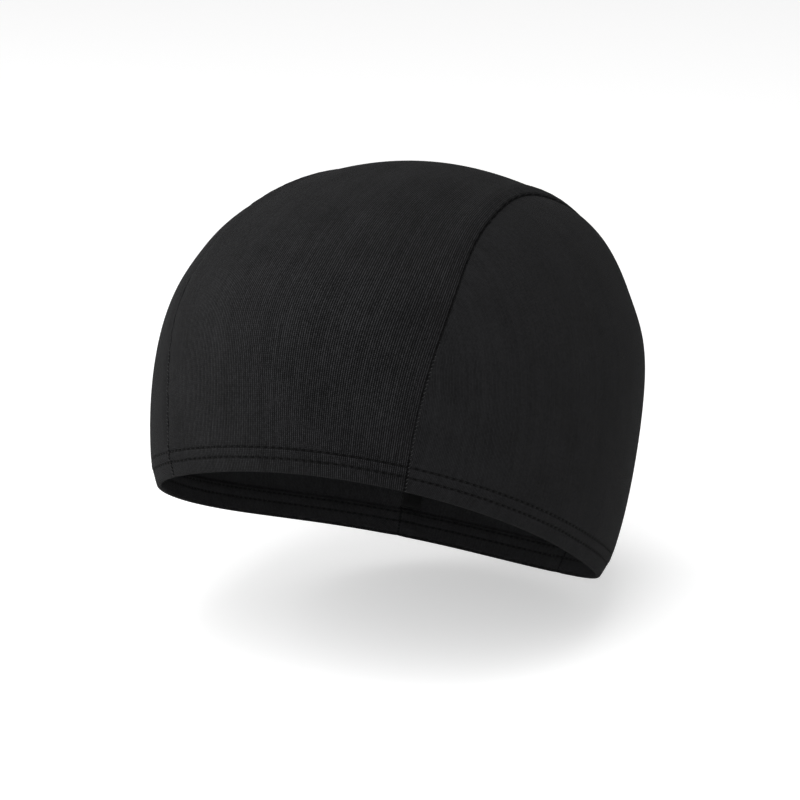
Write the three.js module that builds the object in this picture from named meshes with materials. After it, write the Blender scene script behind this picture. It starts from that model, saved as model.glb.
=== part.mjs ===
import * as THREE from "three";

// A fabric swim cap in the form that an adult head gives it, in millimetres.
// Up is +Z, the front looks along -Y and the wearer's left is +X.

// Driving sizes
const KNIT = 1.2;
const PIECE_GAP = 0.3;
const FACING_GAP = 0.4;
const HEM_HEIGHT = 10;
const HEM_TUCK_DEPTH = 1.4;
const SEAM_DIP = 0.5;
const SEAM_DIP_REACH = 3;
const ALLOWANCE_WIDTH = 6;
const ALLOWANCE_THICKNESS = 1.4;
const WORN_TILT_DEG = 13.4;
const RIM_SKEW = 2.8;

// The dome: an egg-shaped cup, its crown above the widest line and its sides below it
const DOME = {
  halfWidth: 78.2,
  halfLength: 98,
  crownRise: 71,
  lowerDepth: 125,
  crownShift: 7.9,
};

// Share of the dome over which the lower shape turns into the crown
const CROWN_BLEND_SHARE = 0.5;

// Swell of the dome beyond a plain egg, as a share of its reach, in rows 25 degrees apart from the crown down
const SWELL_STEP_DEG = 25;
const SWELL_ROWS = [
  { front: 0, frontQuarter: 0, side: 0, rearQuarter: 0, back: 0 },
  { front: 0.016, frontQuarter: 0.007, side: 0.03, rearQuarter: 0.049, back: -0.004 },
  { front: 0.026, frontQuarter: 0.025, side: -0.004, rearQuarter: -0.004, back: -0.002 },
  { front: 0.038, frontQuarter: 0.001, side: -0.043, rearQuarter: -0.034, back: -0.006 },
  { front: -0.018, frontQuarter: 0.005, side: -0.02, rearQuarter: -0.01, back: 0 },
  { front: -0.066, frontQuarter: -0.004, side: 0.005, rearQuarter: 0.039, back: 0.012 },
];

// How far the rim lies below the widest line, as shares of the dome's lower depth
const RIM_DROP_SHARE = { front: 0.254, frontQuarter: 0.308, side: 0.421, rearQuarter: 0.49, back: 0.509 };

// Length of each seam from rim to rim, and the centre panel's half width as shares of the dome's half width
const SEAM_LENGTH = 330;
const PANEL_HALF_WIDTH_SHARE = {
  foreheadRim: 0.53,
  forehead: 0.589,
  crownFront: 0.514,
  crown: 0.446,
  crownBack: 0.543,
  backOfHead: 0.507,
  napeRim: 0.411,
};

// How far a fan of directions is searched for the rim, past level at the front and at the back
const FAN_REACH_DEG = 70;

// Steps of the faceted pieces
const ALONG_STEPS = 36;
const CENTRE_STEPS = 9;
const SIDE_STEPS = 8;
const HEM_AROUND_STEPS = 96;
const HEM_UP_STEPS = 3;

const radians = (degrees) => (degrees * Math.PI) / 180;
const mix = (from, to, share) => from + (to - from) * share;

function smoothStep(low, high, value) {
  const share = Math.min(1, Math.max(0, (value - low) / (high - low)));
  return share * share * (3 - 2 * share);
}

// A smooth curve through evenly spaced values, level at both ends
function smoothThrough(values, t) {
  const last = values.length - 1;
  let height = 0;
  for (let wave = 0; wave <= last; wave += 1) {
    let share = 0;
    for (let i = 0; i <= last; i += 1) {
      const half = i === 0 || i === last ? 0.5 : 1;
      share += half * values[i] * Math.cos((Math.PI * wave * i) / last);
    }
    const half = wave === 0 || wave === last ? 0.5 : 1;
    height += (2 / last) * half * share * Math.cos(Math.PI * wave * t);
  }
  return height;
}

// A curve through evenly spaced values that keeps their slope, also at both ends
function curveThrough(values, t) {
  const last = values.length - 1;
  const place = last * Math.min(1, Math.max(0, t));
  const left = Math.min(last - 1, Math.floor(place));
  const slopeAt = (i) => {
    const before = Math.max(0, i - 1);
    const after = Math.min(last, i + 1);
    return (values[after] - values[before]) / (after - before);
  };
  const share = place - left;
  const rest = 1 - share;
  const from = values[left] * (1 + 2 * share) + slopeAt(left) * share;
  const to = values[left + 1] * (1 + 2 * rest) - slopeAt(left + 1) * rest;
  return from * rest ** 2 + to * share ** 2;
}

// The value between a rising function's ends where it reaches the target
function solve(rising, low, high, target) {
  let from = low;
  let to = high;
  for (let i = 0; i < 40; i += 1) {
    const middle = (from + to) / 2;
    if (rising(middle) < target) {
      from = middle;
    } else {
      to = middle;
    }
  }
  return (from + to) / 2;
}

// The plan angle runs from 0 at the front through 90 degrees at the wearer's left
const planAngle = (way) => Math.atan2(way.x, -way.y);

function swellAt(way) {
  const around = Math.abs(planAngle(way)) / Math.PI;
  const fromCrown = Math.acos(Math.min(1, Math.max(-1, way.z)));
  const rows = SWELL_ROWS.map((row) => smoothThrough(Object.values(row), around));
  const reach = radians(SWELL_STEP_DEG * (SWELL_ROWS.length - 1));
  return 1 + smoothThrough(rows, fromCrown / reach);
}

function heightAt(rise) {
  const crown = smoothStep(-CROWN_BLEND_SHARE, CROWN_BLEND_SHARE, rise);
  return rise * mix(DOME.lowerDepth, DOME.crownRise, crown);
}

function rimHeight(plan) {
  const drop = smoothThrough(Object.values(RIM_DROP_SHARE), Math.abs(plan) / Math.PI);
  return RIM_SKEW * Math.sin(2 * plan) - DOME.lowerDepth * drop;
}

function aboveRim(way) {
  return heightAt(way.z) - rimHeight(planAngle(way));
}

// The cap's outer face in the direction asked for, tucked in at the hem
function domePoint(way) {
  const swell = swellAt(way);
  const x = DOME.halfWidth * way.x * swell;
  const y = DOME.halfLength * way.y * swell + DOME.crownShift * way.z;
  const tuck = HEM_TUCK_DEPTH * Math.max(0, 1 - aboveRim(way) / HEM_HEIGHT) ** 1.5;
  const share = 1 - tuck / Math.max(1, Math.hypot(x, y));
  return new THREE.Vector3(x * share, y * share, heightAt(way.z));
}

function domeNormal(way) {
  const side = new THREE.Vector3(0, 0, 1);
  if (Math.abs(way.z) > 0.9) {
    side.set(1, 0, 0);
  }
  const first = side.cross(way).normalize();
  const second = new THREE.Vector3().crossVectors(way, first);
  const step = 0.002;
  const difference = (tangent) => {
    const ahead = domePoint(way.clone().addScaledVector(tangent, step).normalize());
    const behind = domePoint(way.clone().addScaledVector(tangent, -step).normalize());
    return ahead.sub(behind);
  };
  return difference(first).cross(difference(second)).normalize();
}

// A point in the cloth, at a depth below the outer face; the cloth dips beside a seam
function clothPoint(way, depth, fromSeam = Infinity) {
  const fade = smoothStep(HEM_HEIGHT, 2 * HEM_HEIGHT, aboveRim(way));
  const dip = SEAM_DIP * fade * Math.exp(-((fromSeam / SEAM_DIP_REACH) ** 2));
  return domePoint(way).addScaledVector(domeNormal(way), -depth - dip);
}

function rimWay(plan, above = 0) {
  const rise = solve(heightAt, -1, 1, rimHeight(plan) + above);
  const level = Math.sqrt(1 - rise * rise);
  return new THREE.Vector3(Math.sin(plan) * level, -Math.cos(plan) * level, rise);
}

// Fan directions run from the front over the crown to the back at one slant to the side
function fanWay(slant, fan) {
  const reach = Math.cos(slant);
  return new THREE.Vector3(Math.sin(slant), -reach * Math.cos(fan), reach * Math.sin(fan));
}

function fanEnds(slant, above) {
  const reach = radians(FAN_REACH_DEG);
  const front = solve((fan) => aboveRim(fanWay(slant, fan)), -reach, 0, above);
  const back = solve((fan) => -aboveRim(fanWay(slant, fan)), Math.PI, Math.PI + reach, -above);
  return { front, back };
}

// A station lies along from the front hem's top (0) to the back hem's top (1), or lower within the hem
const stationAt = (along, above = HEM_HEIGHT) => ({ along, above });

function panelHalfWidth(station) {
  const hemShare = HEM_HEIGHT / SEAM_LENGTH;
  const intoHem = hemShare * (1 - station.above / HEM_HEIGHT);
  const t = mix(hemShare, 1 - hemShare, station.along) + (station.along > 0.5 ? intoHem : -intoHem);
  return DOME.halfWidth * curveThrough(Object.values(PANEL_HALF_WIDTH_SHARE), t);
}

const hemHeights = Array.from({ length: HEM_UP_STEPS }, (_, i) => (HEM_HEIGHT * i) / HEM_UP_STEPS);

// A direction in the centre panel, offset in mm from the middle towards +X
function centreWay(station, offset) {
  const slant = Math.asin(offset / DOME.halfWidth);
  const ends = fanEnds(slant, station.above);
  return fanWay(slant, mix(ends.front, ends.back, station.along));
}

function seamWay(station, side, past = 0) {
  return centreWay(station, side * (panelHalfWidth(station) + past));
}

function arcBetween(from, to, share) {
  const angle = from.angleTo(to);
  if (angle < 1e-6) {
    return from.clone();
  }
  const start = Math.sin((1 - share) * angle) / Math.sin(angle);
  const end = Math.sin(share * angle) / Math.sin(angle);
  return from.clone().multiplyScalar(start).addScaledVector(to, end).normalize();
}

// A closed sheet between two grids of points, the outer one and the inner one
function sheetSolid(outer, inner, closedAround = false) {
  const points = [];
  const numbers = new Map();
  const number = (point) => {
    const key = point.toArray().map((value) => Math.round(value * 2000)).join(",");
    if (!numbers.has(key)) {
      numbers.set(key, points.length);
      points.push(point);
    }
    return numbers.get(key);
  };
  const faces = [];
  const triangle = (a, b, c) => {
    const corners = [number(a), number(b), number(c)];
    if (new Set(corners).size === 3) {
      faces.push(...corners);
    }
  };
  const quad = (a, b, c, d) => {
    triangle(a, b, c);
    triangle(a, c, d);
  };
  const rows = outer.length;
  const columns = outer[0].length;
  const rowSteps = closedAround ? rows : rows - 1;
  for (let i = 0; i < rowSteps; i += 1) {
    const next = (i + 1) % rows;
    for (let j = 0; j < columns - 1; j += 1) {
      quad(outer[i][j], outer[i][j + 1], outer[next][j + 1], outer[next][j]);
      quad(inner[i][j], inner[next][j], inner[next][j + 1], inner[i][j + 1]);
    }
    const last = columns - 1;
    quad(outer[i][0], outer[next][0], inner[next][0], inner[i][0]);
    quad(outer[i][last], inner[i][last], inner[next][last], outer[next][last]);
  }
  if (!closedAround) {
    const end = rows - 1;
    for (let j = 0; j < columns - 1; j += 1) {
      quad(outer[0][j], inner[0][j], inner[0][j + 1], outer[0][j + 1]);
      quad(outer[end][j], outer[end][j + 1], inner[end][j + 1], inner[end][j]);
    }
  }
  const geometry = new THREE.BufferGeometry();
  const positions = points.flatMap((point) => point.toArray());
  geometry.setAttribute("position", new THREE.Float32BufferAttribute(positions, 3));
  geometry.setIndex(faces);
  return geometry;
}

// Turns a sheet inside out where its rows and columns run the other way round
function flipped(geometry) {
  const index = geometry.getIndex();
  for (let i = 0; i < index.count; i += 3) {
    const second = index.getX(i + 1);
    index.setX(i + 1, index.getX(i + 2));
    index.setX(i + 2, second);
  }
  return geometry;
}

const stepsUpTo = (count) => Array.from({ length: count + 1 }, (_, i) => i / count);

const gridOf = (rows, columns, place) => rows.map((row) => columns.map((column) => place(row, column)));

function centrePanel() {
  const rows = [
    ...hemHeights.map((above) => stationAt(0, above)),
    ...stepsUpTo(ALONG_STEPS).map((along) => stationAt(along)),
    ...hemHeights.map((above) => stationAt(1, above)).reverse(),
  ];
  const inner = stepsUpTo(CENTRE_STEPS).map((share) => 2 * share - 1);
  const columns = [{ edge: -1 }, ...inner.map((share) => ({ share })), { edge: 1 }];
  const grid = (depth) =>
    gridOf(rows, columns, (station, column) => {
      const half = panelHalfWidth(station) - PIECE_GAP / 2;
      const offset = column.edge ? half * column.edge : (half - SEAM_DIP_REACH) * column.share;
      return clothPoint(centreWay(station, offset), depth, half - Math.abs(offset));
    });
  return sheetSolid(grid(0), grid(KNIT));
}

function sidePanel(side) {
  const rows = stepsUpTo(ALONG_STEPS);
  const down = stepsUpTo(SIDE_STEPS).map((share) => ({ share }));
  const hem = [...hemHeights].reverse().map((above) => ({ above }));
  const columns = [{ edge: true }, ...down, ...hem];
  const edgePlan = (along, above) => planAngle(seamWay(stationAt(along, above), side, PIECE_GAP / 2));
  const hemWay = (along, above) => rimWay(mix(edgePlan(0, above), edgePlan(1, above), along), above);
  const grid = (depth) =>
    gridOf(rows, columns, (along, column) => {
      if (column.above !== undefined) {
        return clothPoint(hemWay(along, column.above), depth);
      }
      const top = seamWay(stationAt(along), side, PIECE_GAP / 2);
      const bottom = hemWay(along, HEM_HEIGHT);
      const length = DOME.halfWidth * top.angleTo(bottom);
      const edge = Math.min(0.4, SEAM_DIP_REACH / Math.max(1, length));
      const share = column.edge ? 0 : mix(edge, 1, column.share);
      return clothPoint(arcBetween(top, bottom, share), depth, length * share);
    });
  const panel = sheetSolid(grid(0), grid(KNIT));
  return side > 0 ? panel : flipped(panel);
}

function hemFacing() {
  const plans = stepsUpTo(HEM_AROUND_STEPS).slice(0, -1).map((around) => Math.PI * (2 * around - 1));
  const heights = [...hemHeights, HEM_HEIGHT];
  const grid = (depth) => gridOf(plans, heights, (plan, above) => clothPoint(rimWay(plan, above), depth));
  const outerDepth = KNIT + FACING_GAP;
  return flipped(sheetSolid(grid(outerDepth), grid(outerDepth + KNIT), true));
}

// The trimmed cloth edges of a seam lie flat under the centre panel, from the hem in front to the hem behind
function seamAllowance(side) {
  const outerDepth = KNIT + FACING_GAP;
  const rows = stepsUpTo(ALONG_STEPS).slice(1, -1);
  const columns = [-ALLOWANCE_WIDTH, -ALLOWANCE_WIDTH / 2, 0];
  const grid = (depth) =>
    gridOf(rows, columns, (along, past) => {
      return clothPoint(seamWay(stationAt(along), side, past), depth, Math.abs(past));
    });
  const strip = sheetSolid(grid(outerDepth), grid(outerDepth + ALLOWANCE_THICKNESS));
  return side > 0 ? strip : flipped(strip);
}

function piece(name, geometry, material) {
  const mesh = new THREE.Mesh(geometry, material);
  mesh.name = name;
  return mesh;
}

const knit = new THREE.MeshStandardMaterial({ name: "knit", color: 0x0d0d0f, roughness: 0.85 });
const thread = new THREE.MeshStandardMaterial({ name: "thread", color: 0x101012, roughness: 0.7 });

const cap = new THREE.Group();
cap.add(piece("centre_panel", centrePanel(), knit));
cap.add(piece("side_panel_left", sidePanel(1), knit));
cap.add(piece("side_panel_right", sidePanel(-1), knit));
cap.add(piece("hem_facing", hemFacing(), knit));
cap.add(piece("seam_allowance_left", seamAllowance(1), thread));
cap.add(piece("seam_allowance_right", seamAllowance(-1), thread));

// The crown tips back as on an upright head, and the centre of the head opening comes to the origin
function openingCentre() {
  const turn = new THREE.Euler(-radians(WORN_TILT_DEG), 0, 0);
  const front = domePoint(rimWay(0)).applyEuler(turn);
  const back = domePoint(rimWay(Math.PI)).applyEuler(turn);
  return front.add(back).multiplyScalar(0.5);
}

const worn = new THREE.Group();
worn.rotation.x = -radians(WORN_TILT_DEG);
worn.position.copy(openingCentre().negate());
worn.add(cap);

const model = new THREE.Group();
model.add(worn);

export default model;
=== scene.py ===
import math

import bmesh
import bpy
import numpy as np
from mathutils import Matrix, Vector


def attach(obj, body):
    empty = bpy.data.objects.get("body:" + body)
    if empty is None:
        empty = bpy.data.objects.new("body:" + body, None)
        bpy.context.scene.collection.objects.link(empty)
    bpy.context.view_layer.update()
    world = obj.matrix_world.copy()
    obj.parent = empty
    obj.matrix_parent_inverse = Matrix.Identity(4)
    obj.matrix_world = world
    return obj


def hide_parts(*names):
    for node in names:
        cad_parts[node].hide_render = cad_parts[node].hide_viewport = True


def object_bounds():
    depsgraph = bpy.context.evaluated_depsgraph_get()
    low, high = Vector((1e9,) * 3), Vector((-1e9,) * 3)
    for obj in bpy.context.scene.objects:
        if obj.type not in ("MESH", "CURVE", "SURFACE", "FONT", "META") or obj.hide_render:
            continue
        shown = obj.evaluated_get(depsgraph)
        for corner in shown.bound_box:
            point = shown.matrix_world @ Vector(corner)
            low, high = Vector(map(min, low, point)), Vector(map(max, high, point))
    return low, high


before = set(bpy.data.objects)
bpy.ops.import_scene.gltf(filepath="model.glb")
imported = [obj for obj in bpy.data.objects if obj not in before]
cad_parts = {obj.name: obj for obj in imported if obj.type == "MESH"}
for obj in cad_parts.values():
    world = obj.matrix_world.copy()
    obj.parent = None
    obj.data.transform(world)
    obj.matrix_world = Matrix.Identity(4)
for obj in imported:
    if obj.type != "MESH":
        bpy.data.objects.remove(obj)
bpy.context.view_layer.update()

# A fabric swim cap in its worn form. Lengths are in millimetres where nothing else is said.
# Up is +Z, the front looks along -Y and the wearer's left is +X.

# Cloth and hem
CLOTH = 0.85
HEM_HEIGHT = 10.0
HEM_TUCK_DEPTH = 1.4
HEM_FOLD = CLOTH
HEM_TOP_SLOPE = 1.6

# The two seams, and how the cloth dips and rolls in beside them
SEAM_LENGTH = 330.0
SEAM_LAP = 0.02
SEAM_DIP = 0.5
SEAM_DIP_REACH = 3.0
SEAM_DIP_AT_RIM_SHARE = 0.25
SEAM_ROLL = 0.7
SEAM_ROLL_DEPTH = 1.1
HEM_SHARE = HEM_HEIGHT / SEAM_LENGTH

# The trimmed edges of a seam, and the ridge that they make in the cloth over them
ALLOWANCE_WIDTH = 6.0
ALLOWANCE_THICKNESS = 1.1
ALLOWANCE_GAP_SHARE = 0.05
ALLOWANCE_REACH = 0.6 * ALLOWANCE_WIDTH
ALLOWANCE_RIDGE = 0.55
ALLOWANCE_RIDGE_FOOT = 0.5
ALLOWANCE_RIDGE_FULL = 3.0
SEAM_RIDGE = 0.85
SEAM_RIDGE_WALL = 0.8
SEAM_RIDGE_FADE = 5.0
SEAM_RIDGE_FOOT = 58.0
SEAM_RIDGE_FULL = 92.0

# Small folds beside a seam: depth, reach, and the waves' radians for each millimetre back and up
PUCKER = 0.07
PUCKER_REACH = 4.0
PUCKER_WAVES = ((0.9, 0.0), (1.37, 0.8))

# The two needle rows of the hem, their channels and the ridge between them
NEEDLE_ROWS = (4.8, 8.0)
NEEDLE_CHANNEL = 0.3
NEEDLE_CHANNEL_REACH = 0.45
NEEDLE_CHANNEL_INSIDE_SHARE = 0.6
NEEDLE_PULL_SHARE = 0.35
NEEDLE_RIDGE = 0.16
NEEDLE_RIDGE_REACH = 1.1
HOLE_LENGTH_SHARE = 0.42

# Stitches and their threads
HEM_STITCH_COUNT = 208
HEM_STITCH_GAP = {"outside": 0.42, "inside": 0.32}
HEM_STITCH_SUNK = 0.38
HEM_STITCH_ARCH = 0.42
SEAM_STITCH = 1.3
SEAM_STITCH_START_SHARE = 0.2
SEAM_STITCH_REACH = 0.75
SEAM_STITCH_FROM_SEAM = 0.1
SEAM_STITCH_SLANT = 0.5
SEAM_STITCH_SUNK = 0.2
SEAM_STITCH_ARCH = 0.28
TIGHT_SEAM_FOOT = 25.0
TIGHT_SEAM_FULL = 70.0
TIGHT_SEAM_SUNK = 0.4
OVERLOCK_STITCH = 2.4
OVERLOCK_LINES = (-5.2, -1.8)
OVERLOCK_RIPPLE = 0.08
OVERLOCK_INSET = 0.1
OVERLOCK_HEIGHT_SHARE = 1.08
OVERLOCK_EDGE_DROP_SHARE = 0.35
OVERLOCK_LINE_HEIGHT_SHARE = 1.12
HEM_THREAD_RADIUS = 0.15
SEAM_THREAD_RADIUS = 0.12
OVERLOCK_THREAD_RADIUS = 0.13
THREAD_END_SHARE = 0.55
THREAD_LEAN = (0.3, 0.2, 0.9)

# Width and height of one loop of the knit, on the open face and where it is closed up
WALE = 0.7
COURSE = 0.6
CLOSED_WALE = 0.55
CLOSED_COURSE = 0.5

# The dome: an egg-shaped cup that leans back
DOME = {"half_width": 78.2, "half_length": 98.0, "crown_rise": 71.0, "lower_depth": 125.0, "crown_shift": 7.9}
WORN_TILT_DEG = 13.4
RIM_SKEW = 2.8
CROWN_BLEND_SHARE = 0.5

# Swell of the dome as a share of its reach, in rows 25 degrees apart from the crown down.
# Columns: front, front quarter, side, rear quarter, back.
SWELL_STEP_DEG = 25.0
SWELL_ROWS = (
    (0.0, 0.0, 0.0, 0.0, 0.0),
    (0.016, 0.007, 0.03, 0.049, -0.004),
    (0.026, 0.025, -0.004, -0.004, -0.002),
    (0.038, 0.001, -0.043, -0.034, -0.006),
    (-0.018, 0.005, -0.02, -0.01, 0.0),
    (-0.066, -0.004, 0.005, 0.039, 0.012),
)

# How far the rim lies below the widest line, as shares of the dome's lower depth
RIM_DROP_SHARE = {"front": 0.254, "front_quarter": 0.308, "side": 0.421, "rear_quarter": 0.49, "back": 0.509}

# The centre panel's half width as shares of the dome's half width, over the head from rim to rim
PANEL_HALF_WIDTH_SHARE = {
    "forehead_rim": 0.53,
    "forehead": 0.589,
    "crown_front": 0.514,
    "crown": 0.446,
    "crown_back": 0.543,
    "back_of_head": 0.507,
    "nape_rim": 0.411,
}

# How far a fan of directions is searched for the rim, past level at the front and at the back
FAN_REACH = math.radians(70)

# Steps of the meshes: counts, and spacings that widen from a piece's edge inwards
SEAM_STEPS = 700
SEAM_HEM_STEPS = 30
HEM_RING_STEPS = 1441
FOLD_STEPS = 7
HEM_STEPS = 36
EDGE_WIDTH = 8.0
EDGE_FINEST = 0.08
EDGE_COARSEST = 0.75
CENTRE_STEPS_ALONG = 180
CENTRE_STEPS_ACROSS = 51
CENTRE_HALF_WIDTH = 44.0
SIDE_STEPS_ALONG = 330
SIDE_STEPS_DOWN = 59
SIDE_END_COARSEST = 0.6
SIDE_LENGTH = 190.0
SIDE_FULL_EDGE_DEPTH = 40.0
ALLOWANCE_STEPS_ALONG = 260
ALLOWANCE_STEPS_ROUND = 20
HEM_STITCH_POINTS = 7
SEAM_STITCH_POINTS = 6
OVERLOCK_POINTS = 7
OVERLOCK_LINE_POINTS = 400


# The cap's form

def smooth_step(low, high, value):
    share = np.clip((value - low) / (high - low), 0, 1)
    return share * share * (3 - 2 * share)


# A smooth curve through evenly spaced values, level at both ends
def smooth_through(values, t):
    last = len(values) - 1
    total = 0
    for wave in range(last + 1):
        share = 0
        for i, value in enumerate(values):
            half = 0.5 if i in (0, last) else 1
            share = share + half * value * math.cos(math.pi * wave * i / last)
        half = 0.5 if wave in (0, last) else 1
        total = total + 2 / last * half * share * np.cos(math.pi * wave * t)
    return total


# A curve through evenly spaced values that keeps their slope, also at both ends
def curve_through(values, t):
    values = np.asarray(values)
    slopes = np.gradient(values)
    place = np.clip(t, 0, 1) * (len(values) - 1)
    left = np.minimum(place.astype(int), len(values) - 2)
    share = place - left
    rest = 1 - share
    start = values[left] * (1 + 2 * share) + slopes[left] * share
    end = values[left + 1] * (1 + 2 * rest) - slopes[left + 1] * rest
    return start * rest ** 2 + end * share ** 2


# The value between a rising function's ends where it reaches the target
def solve(rising, low, high, target, halvings=36):
    low = np.full(np.shape(target), float(low))
    high = np.full(np.shape(target), float(high))
    for _ in range(halvings):
        middle = (low + high) / 2
        short = rising(middle) < target
        low = np.where(short, middle, low)
        high = np.where(short, high, middle)
    return (low + high) / 2


def unit(vectors):
    return vectors / np.maximum(1e-12, np.linalg.norm(vectors, axis=-1, keepdims=True))


def length_along(points):
    steps = np.linalg.norm(np.diff(points, axis=0), axis=-1)
    return np.concatenate([[0], np.cumsum(steps)])


# The plan angle runs from 0 at the front through a quarter turn at the wearer's left
def plan_angle(way):
    return np.arctan2(way[..., 0], -way[..., 1])


def height_at(rise):
    crown = smooth_step(-CROWN_BLEND_SHARE, CROWN_BLEND_SHARE, rise)
    return rise * (DOME["lower_depth"] + (DOME["crown_rise"] - DOME["lower_depth"]) * crown)


def rim_height(plan):
    drop = smooth_through(tuple(RIM_DROP_SHARE.values()), np.abs(plan) / math.pi)
    return RIM_SKEW * np.sin(2 * plan) - DOME["lower_depth"] * drop


def above_rim(way):
    return height_at(way[..., 2]) - rim_height(plan_angle(way))


# The dome's surface in the direction asked for, tucked in at the hem
def dome_point(way):
    around = np.abs(plan_angle(way)) / math.pi
    from_crown = np.arccos(np.clip(way[..., 2], -1, 1))
    rows = [smooth_through(row, around) for row in SWELL_ROWS]
    reach = math.radians(SWELL_STEP_DEG * (len(SWELL_ROWS) - 1))
    swell = 1 + smooth_through(rows, from_crown / reach)
    x = DOME["half_width"] * way[..., 0] * swell
    y = DOME["half_length"] * way[..., 1] * swell + DOME["crown_shift"] * way[..., 2]
    tuck = HEM_TUCK_DEPTH * np.maximum(0, 1 - above_rim(way) / HEM_HEIGHT) ** 1.5
    share = 1 - tuck / np.maximum(1, np.hypot(x, y))
    return np.stack([x * share, y * share, height_at(way[..., 2])], -1)


def dome_normal(way):
    side = np.where(np.abs(way[..., 2:]) > 0.9, [1.0, 0.0, 0.0], [0.0, 0.0, 1.0])
    first = unit(np.cross(side, way))
    second = np.cross(way, first)
    step = 0.002
    slopes = [dome_point(unit(way + step * t)) - dome_point(unit(way - step * t)) for t in (first, second)]
    return unit(np.cross(*slopes))


def below_dome(way, depth):
    return dome_point(way) - dome_normal(way) * np.asarray(depth)[..., None]


def rim_way(plan, above):
    rise = solve(height_at, -1, 1, rim_height(plan) + above)
    level = np.sqrt(1 - rise * rise)
    return np.stack([np.sin(plan) * level, -np.cos(plan) * level, rise], -1)


# Fan directions run from the front over the crown to the back at one slant to the side
def fan_way(slant, fan):
    reach = np.cos(slant)
    return np.stack([np.sin(slant) * np.ones_like(fan), -reach * np.cos(fan), reach * np.sin(fan)], -1)


# Directions over the centre panel; along is 0 to 1 from hem top to hem top, above is lower within the hem
def centre_way(along, above, offset):
    along, above, offset = np.broadcast_arrays(along, above, offset)
    slant = np.arcsin(offset / DOME["half_width"])
    front = solve(lambda fan: above_rim(fan_way(slant, fan)), -FAN_REACH, 0, above)
    back = solve(lambda fan: -above_rim(fan_way(slant, fan)), math.pi, math.pi + FAN_REACH, -above)
    return fan_way(slant, front + (back - front) * along)


def panel_half_width(along, above):
    into_hem = HEM_SHARE * (1 - above / HEM_HEIGHT)
    t = HEM_SHARE + (1 - 2 * HEM_SHARE) * along + np.where(along > 0.5, into_hem, -into_hem)
    return DOME["half_width"] * curve_through(tuple(PANEL_HALF_WIDTH_SHARE.values()), t)


def seam_way(along, above, side, past=0.0):
    return centre_way(along, above, side * (panel_half_width(along, above) + past))


# Both ends of a seam at one height above the rim
def seam_ends(above, side, past=0.0):
    return seam_way(np.array([0.0, 1.0]), np.full(2, above), side, past)


def arc_between(start, end, share):
    angle = np.arccos(np.clip((start * end).sum(-1, keepdims=True), -1, 1))
    angle = np.maximum(angle, 1e-6)
    return unit(np.sin((1 - share) * angle) * start + np.sin(share * angle) * end)


# The crown tips back as on an upright head
def turned(points):
    tilt = math.radians(WORN_TILT_DEG)
    y = points[..., 1] * math.cos(tilt) + points[..., 2] * math.sin(tilt)
    z = points[..., 2] * math.cos(tilt) - points[..., 1] * math.sin(tilt)
    return np.stack([points[..., 0], y, z], -1)


RIM_ENDS = turned(dome_point(rim_way(np.array([0.0, math.pi]), np.zeros(2))))
OPENING_CENTRE = RIM_ENDS.mean(axis=0)


# In metres, with the centre of the head opening at the origin
def in_frame(points):
    return (turned(points) - OPENING_CENTRE) / 1000


# Places up the front hem by the heights given, over the head in even steps and down the back hem
def rim_to_rim(hem_heights, steps):
    count = len(hem_heights)
    along = np.concatenate([np.zeros(count), np.linspace(0, 1, steps), np.ones(count)])
    above = np.concatenate([hem_heights, np.full(steps, HEM_HEIGHT), hem_heights[::-1]])
    return along, above


SEAM_ALONG, SEAM_ABOVE = rim_to_rim(np.linspace(0, HEM_HEIGHT, SEAM_HEM_STEPS), SEAM_STEPS)
SEAM_CHAINS = {side: dome_point(seam_way(SEAM_ALONG, SEAM_ABOVE, side)) for side in (1, -1)}
SEAM_PLANS = plan_angle(seam_ends(HEM_HEIGHT / 2, 1))


# Distance from the nearer seam, measured in batches to every third point of its chain
def from_seam(points, batch=4000):
    flat = points.reshape(-1, 3)
    nearest = np.full(len(flat), np.inf)
    for chain in SEAM_CHAINS.values():
        for start in range(0, len(flat), batch):
            part = flat[start:start + batch]
            gaps = ((part[:, None] - chain[None, ::3]) ** 2).sum(-1).min(1)
            nearest[start:start + batch] = np.minimum(nearest[start:start + batch], gaps)
    return np.sqrt(nearest).reshape(points.shape[:-1])


# Length along the hem, measured on the rim from the back round by the front
HEM_PLANS = np.linspace(-math.pi, math.pi, HEM_RING_STEPS)
HEM_LENGTHS = length_along(dome_point(rim_way(HEM_PLANS, np.full(HEM_RING_STEPS, HEM_HEIGHT / 2))))
HEM_STITCH = HEM_LENGTHS[-1] / HEM_STITCH_COUNT


# Behind the crown the length runs on past the middle of the back, so that it has no jump there
def hem_length_at(plan, at_back=False):
    past = np.where(at_back & (plan < 0), 1.0, 0.0)
    return np.interp(plan, HEM_PLANS, HEM_LENGTHS) + past * HEM_LENGTHS[-1]


# Depths in the cloth

def needle_channel(way, above):
    stitch = hem_length_at(plan_angle(way)) / HEM_STITCH
    pull = 1 - NEEDLE_PULL_SHARE + NEEDLE_PULL_SHARE * np.cos(2 * math.pi * stitch)
    depth = 0
    for row in NEEDLE_ROWS:
        depth = depth + NEEDLE_CHANNEL * pull * np.exp(-((above - row) / NEEDLE_CHANNEL_REACH) ** 2)
    middle = sum(NEEDLE_ROWS) / 2
    return depth - NEEDLE_RIDGE * np.exp(-((above - middle) / NEEDLE_RIDGE_REACH) ** 2)


def seam_dip(beside, above):
    fade = smooth_step(0.6 * HEM_HEIGHT, 2 * HEM_HEIGHT, above)
    share = SEAM_DIP_AT_RIM_SHARE + (1 - SEAM_DIP_AT_RIM_SHARE) * fade
    return SEAM_DIP * share * np.exp(-((beside / SEAM_DIP_REACH) ** 2))


def pucker(place, beside):
    pull = sum(np.sin(place[..., 1] * back + place[..., 2] * up) for back, up in PUCKER_WAVES)
    return PUCKER * pull * np.exp(-((beside / PUCKER_REACH) ** 2))


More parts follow.
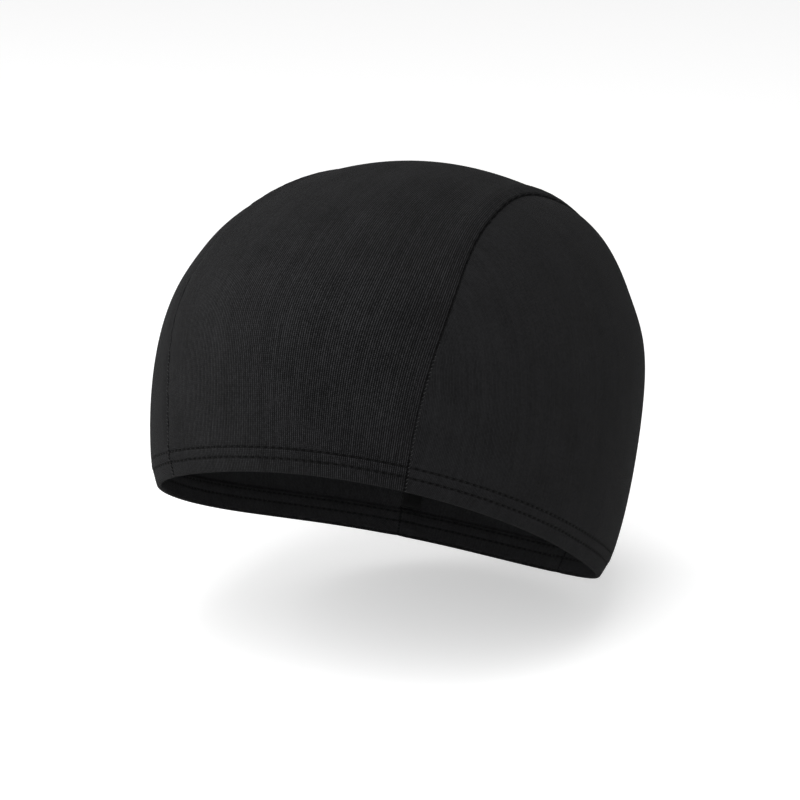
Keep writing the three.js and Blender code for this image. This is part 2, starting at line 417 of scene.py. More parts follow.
# The trimmed edges of a seam lift the centre panel near the crown; past is negative on that panel
def allowance_lift(past, above):
    wall = smooth_step(0, SEAM_RIDGE_WALL, -past)
    foot = 1 - smooth_step(ALLOWANCE_REACH, ALLOWANCE_WIDTH + SEAM_RIDGE_FADE, -past)
    return SEAM_RIDGE * wall * foot * smooth_step(SEAM_RIDGE_FOOT, SEAM_RIDGE_FULL, above)


# How deep below the dome the cloth's outer and inner faces lie
def cloth_depths(way, in_centre):
    above = above_rim(way)
    place = dome_point(way)
    beside = from_seam(place)
    past = np.where(in_centre, -beside, beside)
    dip = seam_dip(beside, above) + pucker(place, beside) - allowance_lift(past, above)
    near = np.clip(beside, 0, SEAM_ROLL)
    roll = 1 - np.sqrt(np.maximum(0, 1 - (1 - near / SEAM_ROLL) ** 2))
    low = np.clip(above, 0, HEM_FOLD)
    fold = np.sqrt(np.maximum(0, HEM_FOLD ** 2 - (HEM_FOLD - low) ** 2))
    channel = needle_channel(way, above)
    outer = dip + SEAM_ROLL_DEPTH * roll + HEM_FOLD - fold + channel
    in_hem = 1 - smooth_step(HEM_HEIGHT - HEM_TOP_SLOPE, HEM_HEIGHT, above)
    over_strip = np.exp(-(((past + ALLOWANCE_WIDTH / 2) / ALLOWANCE_REACH) ** 4))
    ridge = ALLOWANCE_RIDGE * over_strip * smooth_step(ALLOWANCE_RIDGE_FOOT, ALLOWANCE_RIDGE_FULL, above)
    hem_side = HEM_FOLD + fold + ridge - NEEDLE_CHANNEL_INSIDE_SHARE * channel
    inner = dip + in_hem * hem_side + (1 - in_hem) * CLOTH
    return outer, inner


# Depth of the single cloth's inner face beside a seam, also where the hem covers it
def seam_inner_depth(way):
    above = above_rim(way)
    beside = from_seam(dome_point(way))
    return CLOTH + seam_dip(beside, above) - allowance_lift(-beside, above)


# Meshes

def cap_object(name, points, faces, materials, coordinates, sewn=None, reverse=None):
    mesh = bpy.data.meshes.new(name)
    vertices = [tuple(point) for point in in_frame(points)]
    mesh.from_pydata(vertices, [], [tuple(int(i) for i in face) for face in faces])
    mesh.polygons.foreach_set("use_smooth", [True] * len(mesh.polygons))
    layer = mesh.uv_layers.new(name="cloth_mm")
    corners = np.empty(len(mesh.loops), dtype=np.int32)
    mesh.loops.foreach_get("vertex_index", corners)
    layer.data.foreach_set("uv", np.asarray(coordinates, dtype=np.float32)[corners].ravel())
    if sewn is not None:
        layer = mesh.attributes.new("sewn_mm", "FLOAT_VECTOR", "POINT")
        layer.data.foreach_set("vector", np.asarray(sewn, dtype=np.float32).ravel())
    for material in materials:
        mesh.materials.append(material)
    if reverse is not None:
        mesh.polygons.foreach_set("material_index", reverse.astype(np.int32))
    mesh.update()
    made = bpy.data.objects.new(name, mesh)
    bpy.context.scene.collection.objects.link(made)
    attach(made, "root")
    return made


def tidy_mesh(made):
    work = bmesh.new()
    work.from_mesh(made.data)
    bmesh.ops.remove_doubles(work, verts=work.verts, dist=2e-6)
    bmesh.ops.dissolve_degenerate(work, edges=work.edges, dist=1e-7)
    work.to_mesh(made.data)
    work.free()


# A closed sheet of cloth over a grid of directions, with another finish on the inside
def panel(name, way, coordinates, at_back, materials, facing_out, in_centre=False):
    rows, columns = way.shape[:2]
    outer_depth, inner_depth = cloth_depths(way, in_centre)
    outer = below_dome(way, outer_depth)
    inner = below_dome(way, inner_depth)
    points = np.concatenate([outer.reshape(-1, 3), inner.reshape(-1, 3)])
    over = np.arange(rows * columns).reshape(rows, columns)
    under = over + rows * columns
    faces = []

    def quads(a, b, c, d):
        faces.append(np.stack([a.ravel(), b.ravel(), c.ravel(), d.ravel()], -1))

    quads(over[:-1, :-1], over[:-1, 1:], over[1:, 1:], over[1:, :-1])
    quads(under[:-1, :-1], under[1:, :-1], under[1:, 1:], under[:-1, 1:])
    quads(over[:-1, 0], over[1:, 0], under[1:, 0], under[:-1, 0])
    quads(over[:-1, -1], under[:-1, -1], under[1:, -1], over[1:, -1])
    quads(over[0, :-1], under[0, :-1], under[0, 1:], over[0, 1:])
    quads(over[-1, :-1], over[-1, 1:], under[-1, 1:], under[-1, :-1])
    faces = np.concatenate(faces)
    if not facing_out:
        faces = faces[:, ::-1]
    above = above_rim(way)
    hem_length = hem_length_at(plan_angle(way), at_back)
    sewn = np.stack([from_seam(dome_point(way)), above, hem_length], -1).reshape(-1, 3)
    high = above.ravel() > 0.5 * HEM_FOLD
    inside = np.concatenate([np.zeros_like(high), high])
    reverse = inside[faces].all(axis=1)
    both_faces = (2, 1)
    coordinates = np.tile(coordinates.reshape(-1, 2), both_faces)
    made = cap_object(name, points, faces, materials, coordinates, np.tile(sewn, both_faces), reverse)
    tidy_mesh(made)
    return made


def spaced(length, fine, coarse, growth=1.3):
    places, step = [0.0], fine
    while places[-1] < length:
        places.append(places[-1] + step)
        step = min(coarse, step * growth)
    return np.array(places) * length / places[-1]


# Heights of the hem's rows, closer together round its fold
def hem_rows():
    fold = HEM_FOLD * (1 - np.cos(np.linspace(0, math.pi / 2, FOLD_STEPS)))
    plain = np.linspace(HEM_FOLD, HEM_HEIGHT, HEM_STEPS + 2)[1:-1]
    return np.concatenate([fold, plain])


def centre_panel(materials):
    along, above = rim_to_rim(hem_rows(), CENTRE_STEPS_ALONG)
    half = panel_half_width(along, above) + SEAM_LAP
    edge = spaced(EDGE_WIDTH, EDGE_FINEST, EDGE_COARSEST)
    inner = np.linspace(EDGE_WIDTH, CENTRE_HALF_WIDTH, CENTRE_STEPS_ACROSS + 1)[1:]
    shares = 1 - np.concatenate([edge, inner]) / CENTRE_HALF_WIDTH
    columns = np.concatenate([-shares[:-1], shares[::-1]])
    way = centre_way(along[:, None], above[:, None], half[:, None] * columns[None])
    run = length_along(dome_point(way[:, len(shares) - 1]))
    across = DOME["half_width"] * np.arcsin(PANEL_HALF_WIDTH_SHARE["forehead"] * columns)
    cloth = np.stack(np.broadcast_arrays(across[None], run[:, None]), -1)
    return panel("centre_panel_cloth", way, cloth, (along > 0.5)[:, None], materials, True, True)


# Shares of the way down from the seam to the hem, closer together beside the seam
def shares_down(length):
    edge = spaced(EDGE_WIDTH, EDGE_FINEST, EDGE_COARSEST)
    near = edge[None] * np.minimum(1, length[:, None] / SIDE_FULL_EDGE_DEPTH)
    plain = np.linspace(0, 1, SIDE_STEPS_DOWN + 1)[1:]
    rest = near[:, -1:] + (length[:, None] - near[:, -1:]) * plain[None]
    share = np.concatenate([near, rest], 1) / np.maximum(length[:, None], 1e-6)
    share[length < 1e-4] = np.linspace(0, 1, share.shape[1])
    return share


def side_panel(side, materials):
    ends = spaced(EDGE_WIDTH, EDGE_FINEST, SIDE_END_COARSEST) / SIDE_LENGTH
    middle = np.linspace(ends[-1], 1 - ends[-1], SIDE_STEPS_ALONG)
    along = np.concatenate([ends[:-1], middle, 1 - ends[:-1][::-1]])
    top = seam_way(along, np.full(len(along), HEM_HEIGHT), side, -SEAM_LAP)
    first, last = plan_angle(seam_ends(HEM_HEIGHT, side, -SEAM_LAP))
    bottom = rim_way(first + (last - first) * along, np.full(len(along), HEM_HEIGHT))
    length = DOME["half_width"] * np.arccos(np.clip((top * bottom).sum(-1), -1, 1))
    main = arc_between(top[:, None], bottom[:, None], shares_down(length)[..., None])
    down_hem = hem_rows()[::-1]
    edge_front = plan_angle(seam_way(np.zeros(len(down_hem)), down_hem, side, -SEAM_LAP))
    edge_back = plan_angle(seam_way(np.ones(len(down_hem)), down_hem, side, -SEAM_LAP))
    plan = edge_front[None] + (edge_back - edge_front)[None] * along[:, None]
    hem = rim_way(plan, np.broadcast_to(down_hem[None], plan.shape))
    way = np.concatenate([main, hem], 1)
    spot = dome_point(way)
    steps_down = np.linalg.norm(np.diff(spot, axis=1), axis=-1)
    height = np.concatenate([np.cumsum(steps_down[:, ::-1], axis=1)[:, ::-1], np.zeros((len(along), 1))], 1)
    reach = 1.05 * DOME["half_length"]
    cloth = np.stack([reach * np.arcsin(np.clip((spot[..., 1] / reach), -1, 1)), height], -1)
    name = "side_panel_left_cloth" if side > 0 else "side_panel_right_cloth"
    return panel(name, way, cloth, False, materials, side > 0)


# A round thread along each path, with the length along it and round it as coordinates
def threads(name, paths, radius, material, sides=6):
    points, faces, coordinates = [], [], []
    for path in paths:
        count = len(path)
        ahead = unit(np.gradient(path, axis=0))
        lift = unit(path - path.mean(axis=0) + THREAD_LEAN)
        across = unit(np.cross(ahead, lift))
        lift = np.cross(across, ahead)
        length = length_along(path)
        first = len(points)
        for i in range(count):
            thin = THREAD_END_SHARE if i in (0, count - 1) else 1.0
            for k in range(sides):
                turn = 2 * math.pi * k / sides
                ring = math.cos(turn) * across[i] + math.sin(turn) * lift[i]
                points.append(path[i] + radius * thin * ring)
                coordinates.append((length[i], k / sides))
        for i in range(count - 1):
            for k in range(sides):
                a, b = first + i * sides + k, first + i * sides + (k + 1) % sides
                faces.append((a, b, b + sides, a + sides))
        faces.append(tuple(range(first + sides - 1, first - 1, -1)))
        faces.append(tuple(range(first + (count - 1) * sides, first + count * sides)))
    return cap_object(name, np.array(points), faces, [material], coordinates)


def on_hem(way, rise, inside=False):
    turn = np.abs(plan_angle(way))
    outer, inner = cloth_depths(way, (turn < SEAM_PLANS[0]) | (turn > SEAM_PLANS[1]))
    return below_dome(way, inner + rise if inside else outer - rise)


def hem_stitch_row(row, inside):
    gap = HEM_STITCH_GAP["inside" if inside else "outside"]
    starts = np.arange(HEM_STITCH_COUNT) * HEM_STITCH + gap / 2
    run = np.linspace(0, 1, HEM_STITCH_POINTS)
    lengths = starts[:, None] + (HEM_STITCH - gap) * run[None]
    plan = np.interp(lengths, HEM_LENGTHS, HEM_PLANS)
    way = rim_way(plan, np.full(plan.shape, row))
    rise = -HEM_STITCH_SUNK + HEM_STITCH_ARCH * np.sin(math.pi * run) ** 0.4
    return list(on_hem(way, np.broadcast_to(rise, plan.shape), inside))


def hem_stitches(material):
    paths = []
    for row in NEEDLE_ROWS:
        paths += hem_stitch_row(row, False)
        paths += hem_stitch_row(row, True)
    return threads("hem_stitch_rows", paths, HEM_THREAD_RADIUS, material)


# Short slanting threads from a seam's groove up on to the side panel, lowest where the cloth is tight
def seam_stitches(side, material):
    name = "seam_stitches_left" if side > 0 else "seam_stitches_right"
    length = length_along(SEAM_CHAINS[side])
    count = int(length[-1] / SEAM_STITCH)
    run = np.linspace(0, 1, SEAM_STITCH_POINTS)
    starts = (np.arange(count) + SEAM_STITCH_START_SHARE) * SEAM_STITCH
    place = starts[:, None] + SEAM_STITCH_REACH * run[None]
    along = np.interp(place, length, SEAM_ALONG)
    above = np.interp(place, length, SEAM_ABOVE)
    past = np.broadcast_to(SEAM_STITCH_FROM_SEAM + SEAM_STITCH_SLANT * run[None], place.shape)
    way = seam_way(along, above, side, past)
    outer, _ = cloth_depths(way, False)
    tight = smooth_step(TIGHT_SEAM_FOOT, TIGHT_SEAM_FULL, above_rim(way))
    arch = np.sin(math.pi * run[None]) ** 0.5
    depth = outer + SEAM_STITCH_SUNK - SEAM_STITCH_ARCH * arch + TIGHT_SEAM_SUNK * tight
    return threads(name, list(below_dome(way, depth)), SEAM_THREAD_RADIUS, material, sides=5)


# The trimmed cloth edges of a seam, lying flat inside the cap
def seam_allowance(side, material):
    name = "seam_allowance_left_cloth" if side > 0 else "seam_allowance_right_cloth"
    along = np.linspace(0, 1, ALLOWANCE_STEPS_ALONG)
    turn = np.linspace(0, 2 * math.pi, ALLOWANCE_STEPS_ROUND, endpoint=False)
    ring = np.sign(np.cos(turn)) * np.abs(np.cos(turn)) ** 0.45
    lift = np.sign(np.sin(turn)) * np.abs(np.sin(turn)) ** 0.7
    past = ALLOWANCE_WIDTH / 2 * (ring - 1)
    grid_along, grid_past = np.meshgrid(along, past, indexing="ij")
    way = seam_way(grid_along, np.full(grid_along.shape, HEM_HEIGHT), side, grid_past)
    ripple = OVERLOCK_RIPPLE * np.sin(2 * math.pi * grid_along * SEAM_LENGTH / OVERLOCK_STITCH)
    middle = ALLOWANCE_THICKNESS / 2 * (1 + ALLOWANCE_GAP_SHARE + lift[None])
    points = below_dome(way, seam_inner_depth(way) + middle + ripple * np.maximum(0, lift[None]))
    rows, columns = points.shape[:2]
    number = np.arange(rows * columns).reshape(rows, columns)
    after = np.roll(number, -1, axis=1)
    quads = np.stack([number[:-1], after[:-1], after[1:], number[1:]], -1).reshape(-1, 4)
    faces = [tuple(q) for q in (quads if side < 0 else quads[:, ::-1])]
    ends = [tuple(number[0]), tuple(number[-1][::-1])]
    faces += ends if side > 0 else [end[::-1] for end in ends]
    run = grid_along * SEAM_LENGTH
    cloth = np.stack([grid_past, run], -1).reshape(-1, 2)
    return cap_object(name, points.reshape(-1, 3), faces, [material], cloth)


# Threads that cross over the trimmed edges in both slants, and two that run along them
def overlock_threads(side, material):
    name = "overlock_threads_left" if side > 0 else "overlock_threads_right"
    count = int(SEAM_LENGTH / OVERLOCK_STITCH) - 3
    step = OVERLOCK_STITCH / SEAM_LENGTH
    run = np.linspace(-1, 1, OVERLOCK_POINTS)
    paths = []
    for slant in (-1, 1):
        place = step * ((np.arange(count) + 1.5)[:, None] + 0.5 * slant * run[None])
        past = (ALLOWANCE_WIDTH / 2 - OVERLOCK_INSET) * run[None] - ALLOWANCE_WIDTH / 2
        way = seam_way(place, np.full(place.shape, HEM_HEIGHT), side, past)
        rise = ALLOWANCE_THICKNESS * (OVERLOCK_HEIGHT_SHARE - OVERLOCK_EDGE_DROP_SHARE * np.abs(run) ** 6)
        paths += list(below_dome(way, seam_inner_depth(way) + rise[None]))
    place = np.linspace(0.004, 0.996, OVERLOCK_LINE_POINTS)
    rise = ALLOWANCE_THICKNESS * OVERLOCK_LINE_HEIGHT_SHARE
    for line in OVERLOCK_LINES:
        way = seam_way(place, np.full(len(place), HEM_HEIGHT), side, line)
        paths.append(below_dome(way, seam_inner_depth(way) + rise))
    return threads(name, paths, OVERLOCK_THREAD_RADIUS, material, sides=5)


# Finishes

NODE_SPACING = 200
NODES_IN_A_ROW = 8


# Nodes are laid out in rows, in the order in which they are made
def node(tree, kind, **settings):
    row, column = divmod(len(tree.nodes), NODES_IN_A_ROW)
    made = tree.nodes.new(kind)
    made.location = (NODE_SPACING * column, -NODE_SPACING * row)
    for key, value in settings.items():
        setattr(made, key, value)
    return made


def maths(tree, operation, first, second=None, third=None):
    made = node(tree, "ShaderNodeMath", operation=operation)
    for socket, value in zip(made.inputs, (first, second, third)):
        if value is None:
            continue
        if isinstance(value, (int, float)):
            socket.default_value = value
        else:
            tree.links.new(value, socket)
    return made.outputs[0]


# 1 below the near value, 0 beyond the far one
def fading(tree, value, near, far):
    made = node(tree, "ShaderNodeMapRange", interpolation_type="SMOOTHSTEP")
    made.inputs["From Min"].default_value = near
    made.inputs["From Max"].default_value = far
    made.inputs["To Min"].default_value = 1.0
    made.inputs["To Max"].default_value = 0.0
    tree.links.new(value, made.inputs["Value"])
    return made.outputs[0]


def mixed_colours(tree, share, first, second):
    made = node(tree, "ShaderNodeMix", data_type="RGBA")
    made.inputs["A"].default_value = (*first, 1)
    made.inputs["B"].default_value = (*second, 1)
    tree.links.new(share, made.inputs["Factor"])
    return made.outputs["Result"]


def group(name, inputs, outputs):
    tree = bpy.data.node_groups.new(name, "ShaderNodeTree")
    for label, kind, value in inputs:
        socket = tree.interface.new_socket(name=label, in_out="INPUT", socket_type=kind)
        if value is not None:
            socket.default_value = value
    for label, kind in outputs:
        tree.interface.new_socket(name=label, in_out="OUTPUT", socket_type=kind)
    return tree, node(tree, "NodeGroupInput"), node(tree, "NodeGroupOutput")


def use_group(tree, shared, **values):
    made = node(tree, "ShaderNodeGroup", node_tree=shared)
    for label, value in values.items():
        made.inputs[label.replace("_", " ")].default_value = value
    return made


# Rows of V-shaped loops: height of the yarn, gap between the loops, and yarn that differs from loop to loop
def jersey_knit_group():
    inputs = (
        ("Cloth mm", "NodeSocketVector", None),
        ("Wale mm", "NodeSocketFloat", WALE),
        ("Course mm", "NodeSocketFloat", COURSE),
    )
    outputs = (("Height", "NodeSocketFloat"), ("Gap", "NodeSocketFloat"), ("Yarn", "NodeSocketFloat"))
    tree, start, end = group("jersey_knit", inputs, outputs)
    split = node(tree, "ShaderNodeSeparateXYZ")
    tree.links.new(start.outputs["Cloth mm"], split.inputs[0])
    across = maths(tree, "DIVIDE", split.outputs[0], start.outputs["Wale mm"])
    along = maths(tree, "DIVIDE", split.outputs[1], start.outputs["Course mm"])
    within = maths(tree, "FRACT", across)
    from_middle = maths(tree, "ABSOLUTE", maths(tree, "SUBTRACT", within, 0.5))
    rib = maths(tree, "COSINE", maths(tree, "MULTIPLY", from_middle, math.pi))
    leaning = maths(tree, "ADD", along, maths(tree, "MULTIPLY", from_middle, 1.6))
    wave = maths(tree, "SINE", maths(tree, "MULTIPLY", leaning, math.pi))
    loop = maths(tree, "POWER", maths(tree, "ABSOLUTE", wave), 0.6)
    body = maths(tree, "MULTIPLY", rib, maths(tree, "MULTIPLY_ADD", loop, 0.5, 0.5))
    wale_number = maths(tree, "FLOOR", across)
    cell = node(tree, "ShaderNodeCombineXYZ")
    tree.links.new(wale_number, cell.inputs[0])
    tree.links.new(maths(tree, "FLOOR", leaning), cell.inputs[1])
    by_loop = node(tree, "ShaderNodeTexWhiteNoise", noise_dimensions="2D")
    by_wale = node(tree, "ShaderNodeTexWhiteNoise", noise_dimensions="1D")
    tree.links.new(cell.outputs[0], by_loop.inputs["Vector"])
    tree.links.new(wale_number, by_wale.inputs["W"])
    of_wale = maths(tree, "MULTIPLY", by_wale.outputs["Value"], 0.35)
    yarn = maths(tree, "MULTIPLY_ADD", by_loop.outputs["Value"], 0.65, of_wale)
    tree.links.new(body, end.inputs["Height"])
    tree.links.new(maths(tree, "SUBTRACT", 1.0, body), end.inputs["Gap"])
    tree.links.new(yarn, end.inputs["Yarn"])
    return tree


# Uneven dye and pressed yarn: slow patches and fine specks
def cloth_mottle_group():
    inputs = (
        ("Cloth mm", "NodeSocketVector", None),
        ("Patch", "NodeSocketFloat", 0.06),
        ("Speck", "NodeSocketFloat", 1.1),
    )
    outputs = (("Patches", "NodeSocketFloat"), ("Specks", "NodeSocketFloat"))
    tree, start, end = group("cloth_mottle", inputs, outputs)
    for scale, result, detail in (("Patch", "Patches", 3.0), ("Speck", "Specks", 2.0)):
        noise = node(tree, "ShaderNodeTexNoise")
        noise.inputs["Detail"].default_value = detail
        tree.links.new(start.outputs["Cloth mm"], noise.inputs["Vector"])
        tree.links.new(start.outputs[scale], noise.inputs["Scale"])
        tree.links.new(noise.outputs["Fac"], end.inputs[result])
    return tree


# Painted shade where sewing draws the cloth in: in the groove of a seam, along the needle rows of the hem and
# in their holes
def sewn_shade_group():
    outputs = (("Groove shade", "NodeSocketFloat"), ("Row shade", "NodeSocketFloat"), ("Hole shade", "NodeSocketFloat"))
    tree, start, end = group("sewn_painted_shade", (("Sewn mm", "NodeSocketVector", None),), outputs)
    split = node(tree, "ShaderNodeSeparateXYZ")
    tree.links.new(start.outputs["Sewn mm"], split.inputs[0])
    tree.links.new(fading(tree, split.outputs[0], 0.1, 0.7), end.inputs["Groove shade"])
    turn = maths(tree, "MULTIPLY", split.outputs[2], math.pi / HEM_STITCH)
    off_hole = maths(tree, "MULTIPLY", maths(tree, "SINE", turn), HOLE_LENGTH_SHARE)
    nearest = None
    for row in NEEDLE_ROWS:
        off_row = maths(tree, "ABSOLUTE", maths(tree, "SUBTRACT", split.outputs[1], row))
        nearest = off_row if nearest is None else maths(tree, "MINIMUM", nearest, off_row)
    away = node(tree, "ShaderNodeCombineXYZ")
    tree.links.new(off_hole, away.inputs[0])
    tree.links.new(nearest, away.inputs[1])
    length = node(tree, "ShaderNodeVectorMath", operation="LENGTH")
    tree.links.new(away.outputs[0], length.inputs[0])
    tree.links.new(fading(tree, nearest, 0.12, 0.42), end.inputs["Row shade"])
    tree.links.new(fading(tree, length.outputs["Value"], 0.15, 0.5), end.inputs["Hole shade"])
    return tree


# The plies of a twisted thread, as a wave from -1 to 1
def twisted_ply_group():
    inputs = (("Thread mm", "NodeSocketVector", None),)
    tree, start, end = group("twisted_ply", inputs, (("Ply", "NodeSocketFloat"),))
    split = node(tree, "ShaderNodeSeparateXYZ")
    tree.links.new(start.outputs["Thread mm"], split.inputs[0])
    slope = maths(tree, "MULTIPLY_ADD", split.outputs[0], 4.0, split.outputs[1])
    ply = maths(tree, "SINE", maths(tree, "MULTIPLY", slope, 4 * math.pi))
    tree.links.new(ply, end.inputs["Ply"])
    return tree


def principled(name):
    material = bpy.data.materials.new(name)
    material.use_nodes = True
    tree = material.node_tree
    tree.nodes.clear()
    shader = node(tree, "ShaderNodeBsdfPrincipled")
    output = node(tree, "ShaderNodeOutputMaterial")
    tree.links.new(shader.outputs[0], output.inputs["Surface"])
    return material, tree, shader


# Raises the surface by the height times the relief, in metres
def add_relief(tree, shader, height, strength, relief):
    bump = node(tree, "ShaderNodeBump")
    bump.inputs["Strength"].default_value = strength
    bump.inputs["Distance"].default_value = relief
    tree.links.new(height, bump.inputs["Height"])
    tree.links.new(bump.outputs[0], shader.inputs["Normal"])


def knit_material(name, shared, gap_shade, relief, dark, light, wale=CLOSED_WALE, course=CLOSED_COURSE):
    material, tree, shader = principled(name)
    shader.inputs["Sheen Weight"].default_value = 0.02
    shader.inputs["Sheen Roughness"].default_value = 0.5
    shader.inputs["Specular IOR Level"].default_value = 0.08
    coordinates = node(tree, "ShaderNodeUVMap", uv_map="cloth_mm")
    loops = use_group(tree, shared["knit"], Wale_mm=wale, Course_mm=course)
    patches = use_group(tree, shared["mottle"])
    for made in (loops, patches):
        tree.links.new(coordinates.outputs[0], made.inputs["Cloth mm"])
    sewing = node(tree, "ShaderNodeAttribute", attribute_name="sewn_mm")
    sewn = use_group(tree, shared["sewn"])
    tree.links.new(sewing.outputs["Vector"], sewn.inputs["Sewn mm"])
    uneven = maths(tree, "MULTIPLY", patches.outputs["Specks"], 0.5)
    tone = maths(tree, "MULTIPLY_ADD", patches.outputs["Patches"], 0.5, uneven)
    # Painted shade: the colour darkens in the gaps between the knit's loops
    shade = maths(tree, "MULTIPLY", loops.outputs["Gap"], gap_shade)
    tone = maths(tree, "SUBTRACT", maths(tree, "ADD", tone, 0.1), shade)
    tone = maths(tree, "MULTIPLY_ADD", loops.outputs["Yarn"], 0.5, tone)
    # Painted shade: the colour darkens in a seam's groove, along the hem's needle rows and in the needle
    # holes
    painted_seam_shade = maths(tree, "MAXIMUM", sewn.outputs["Groove shade"], sewn.outputs["Hole shade"])
    painted_seam_shade = maths(tree, "MULTIPLY_ADD", sewn.outputs["Row shade"], 0.4, painted_seam_shade)
    tone = maths(tree, "SUBTRACT", tone, painted_seam_shade)
    tree.links.new(mixed_colours(tree, tone, dark, light), shader.inputs["Base Color"])
    rough = maths(tree, "MULTIPLY_ADD", patches.outputs["Specks"], 0.2, 0.62)
    tree.links.new(rough, shader.inputs["Roughness"])
    surface = maths(tree, "MULTIPLY_ADD", patches.outputs["Specks"], 0.3, loops.outputs["Height"])
    add_relief(tree, shader, surface, 1.0, relief / 1000)
    return material


def thread_material(name, shared, dark, light):
    material, tree, shader = principled(name)
    shader.inputs["Specular IOR Level"].default_value = 0.15
    coordinates = node(tree, "ShaderNodeUVMap", uv_map="cloth_mm")
    twist = use_group(tree, shared["ply"])
    tree.links.new(coordinates.outputs[0], twist.inputs["Thread mm"])
    ply = twist.outputs["Ply"]
    # Painted shade between the plies: the thread's colour darkens where the plies dip
    share = maths(tree, "MULTIPLY_ADD", ply, 0.5, 0.5)
    tree.links.new(mixed_colours(tree, share, dark, light), shader.inputs["Base Color"])
    tree.links.new(maths(tree, "MULTIPLY_ADD", ply, 0.1, 0.5), shader.inputs["Roughness"])
    add_relief(tree, shader, ply, 0.7, 0.00008)
    return material


# The open outer face of the centre panel
def knit_face(shared):
    dark, light = (0.002, 0.002, 0.0022), (0.039, 0.039, 0.0415)
    return knit_material("knit_face", shared, 1.5, 0.28, dark, light, WALE, COURSE)


# The outer face of the side panels, where the loops are closed up, in a tone darker than the centre panel's:
# painted shade on the sides of the cap
def knit_face_closed_painted_shade(shared):
    dark, light = (0.002, 0.002, 0.0022), (0.019, 0.019, 0.0204)
    return knit_material("knit_face_closed_painted_shade", shared, 0.7, 0.14, dark, light)


# The inside face, lighter than the outer face: partly the knit's own reverse and partly painted light inside
# the cap, where little light reaches
def knit_reverse_painted_light(shared):
    dark, light = (0.014, 0.014, 0.015), (0.05, 0.05, 0.053)
    return knit_material("knit_reverse_painted_light", shared, 0.6, 0.15, dark, light)


def hem_thread(shared):
    return thread_material("hem_thread", shared, (0.003, 0.003, 0.003), (0.012, 0.012, 0.012))


def seam_thread(shared):
    return thread_material("seam_thread", shared, (0.03, 0.03, 0.03), (0.07, 0.07, 0.072))


def overlocked_edge(shared):
    return thread_material("overlocked_edge", shared, (0.012, 0.012, 0.012), (0.035, 0.035, 0.036))


def pale_floor():
    material, tree, shader = principled("pale_floor")
    shader.inputs["Roughness"].default_value = 0.9
    shader.inputs["Specular IOR Level"].default_value = 0.1
    shader.inputs["Emission Color"].default_value = (1, 1, 1, 1)
    seen = node(tree, "ShaderNodeLightPath")
    tint = mixed_colours(tree, seen.outputs["Is Camera Ray"], (0.55,) * 3, (0.9,) * 3)
    tree.links.new(tint, shader.inputs["Base Color"])
    glow = maths(tree, "MULTIPLY_ADD", seen.outputs["Is Camera Ray"], FLOOR_GLOW, FLOOR_BOUNCE)
    tree.links.new(glow, shader.inputs["Emission Strength"])
    return material


# The studio, in degrees, metres and watts, but lens and sensor in millimetres

CAMERA_AZIMUTH = 26.5
CAMERA_ELEVATION = 14.4
CAMERA_DISTANCE = 1.09
CAMERA_AIM_RIGHT = -0.0026
CAMERA_AIM_UP = -0.0084
LENS = 148.3
SENSOR_WIDTH = 36
FLOOR_GAP = 0.004
FLOOR_REACH = 6.0
FLOOR_GLOW = 0.4
FLOOR_BOUNCE = 0.08
SKY_STRENGTH = 0.33
SKY_LEAN = (-0.2, -0.15, 0.05)
SOFTBOX_AIM_HEIGHT = 0.04
SOFTBOXES = {
    "key_softbox": {"azimuth": 15, "elevation": 50, "distance": 1.7, "size": (0.9, 2.2), "power": 22},
    "front_softbox": {"azimuth": 22, "elevation": 14, "distance": 1.8, "size": (0.9, 0.5), "power": 4},
    "left_softbox": {"azimuth": -75, "elevation": 30, "distance": 1.8, "size": (0.8, 1.2), "power": 6},
}


def direction(azimuth, elevation):
    a, e = math.radians(azimuth), math.radians(elevation)
    return Vector((math.sin(a) * math.cos(e), -math.cos(a) * math.cos(e), math.sin(e)))


def add_camera():
    azimuth = math.radians(CAMERA_AZIMUTH)
    toward = direction(CAMERA_AZIMUTH, CAMERA_ELEVATION)
    right = Vector((math.cos(azimuth), math.sin(azimuth), 0))
    up = toward.cross(right)
    dome_centre = Vector(in_frame(np.zeros(3)))
    aim = dome_centre + right * CAMERA_AIM_RIGHT + up * CAMERA_AIM_UP
    camera = bpy.data.objects.new("camera", bpy.data.cameras.new("camera"))
    camera.data.lens = LENS
    camera.data.sensor_width = SENSOR_WIDTH
    facing = Matrix((right, up, toward)).transposed().to_4x4()
    camera.matrix_world = Matrix.Translation(aim + toward * CAMERA_DISTANCE) @ facing
    bpy.context.scene.collection.objects.link(camera)
    bpy.context.scene.camera = camera


def add_floor(height):
    mesh = bpy.data.meshes.new("floor")
    signs = ((-1, -1), (1, -1), (1, 1), (-1, 1))
    corners = [(FLOOR_REACH * x, FLOOR_REACH * y, height) for x, y in signs]
    mesh.from_pydata(corners, [], [(0, 1, 2, 3)])
    mesh.materials.append(pale_floor())
    floor = bpy.data.objects.new("floor", mesh)
    bpy.context.scene.collection.objects.link(floor)


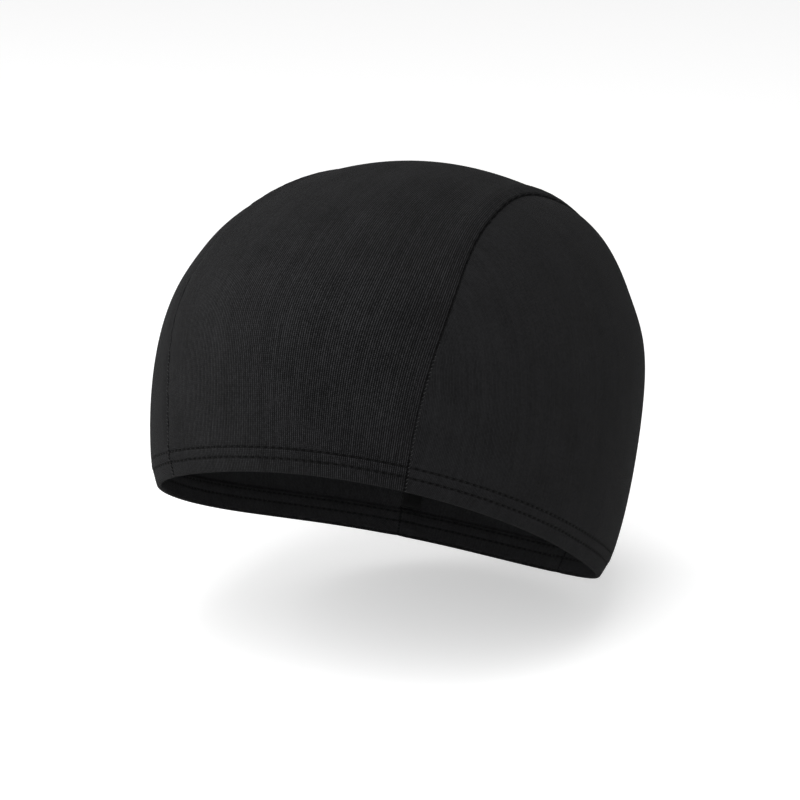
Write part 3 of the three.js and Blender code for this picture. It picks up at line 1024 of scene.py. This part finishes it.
def add_softbox(name, azimuth, elevation, distance, size, power):
    place = direction(azimuth, elevation) * distance
    lamp = bpy.data.lights.new(name, "AREA")
    lamp.shape = "RECTANGLE"
    lamp.size, lamp.size_y = size
    lamp.energy = power
    made = bpy.data.objects.new(name, lamp)
    made.location = place + Vector((0, 0, SOFTBOX_AIM_HEIGHT))
    made.rotation_euler = (-place).to_track_quat("-Z", "Y").to_euler()
    bpy.context.scene.collection.objects.link(made)


# A white backdrop whose light on the cap is stronger from some sides
def add_white_studio():
    world = bpy.data.worlds.new("white_studio")
    world.use_nodes = True
    tree = world.node_tree
    sky = tree.nodes["Background"]
    sky.inputs["Color"].default_value = (1, 1, 1, 1)
    way = node(tree, "ShaderNodeTexCoord")
    lean = node(tree, "ShaderNodeVectorMath", operation="DOT_PRODUCT")
    lean.inputs[1].default_value = SKY_LEAN
    tree.links.new(way.outputs["Generated"], lean.inputs[0])
    light = maths(tree, "ADD", lean.outputs["Value"], SKY_STRENGTH)
    seen = node(tree, "ShaderNodeLightPath")
    strength = maths(tree, "MAXIMUM", light, seen.outputs["Is Camera Ray"])
    tree.links.new(strength, sky.inputs["Strength"])
    bpy.context.scene.world = world


def add_studio():
    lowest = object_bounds()[0][2]
    add_floor(lowest - FLOOR_GAP)
    add_white_studio()
    for name, box in SOFTBOXES.items():
        add_softbox(name, **box)
    bpy.context.scene.view_settings.view_transform = "Standard"


def sew_cap():
    shared = {
        "knit": jersey_knit_group(),
        "mottle": cloth_mottle_group(),
        "sewn": sewn_shade_group(),
        "ply": twisted_ply_group(),
    }
    face = knit_face(shared)
    side_knit_painted_shade = knit_face_closed_painted_shade(shared)
    back = knit_reverse_painted_light(shared)
    row_thread = hem_thread(shared)
    stitch_thread = seam_thread(shared)
    edge = overlocked_edge(shared)
    middle = centre_panel((face, back))
    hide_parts("centre_panel", "hem_facing")
    left, right = side_panel(1, (side_knit_painted_shade, back)), side_panel(-1, (side_knit_painted_shade, back))
    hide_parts("side_panel_left", "hem_facing")
    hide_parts("side_panel_right", "hem_facing")
    for side, name in ((1, "seam_allowance_left"), (-1, "seam_allowance_right")):
        strip = seam_allowance(side, edge)
        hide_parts(name)
        seam_stitches(side, stitch_thread)
        overlock_threads(side, row_thread)
    hem_stitches(row_thread)


sew_cap()
add_studio()
add_camera()
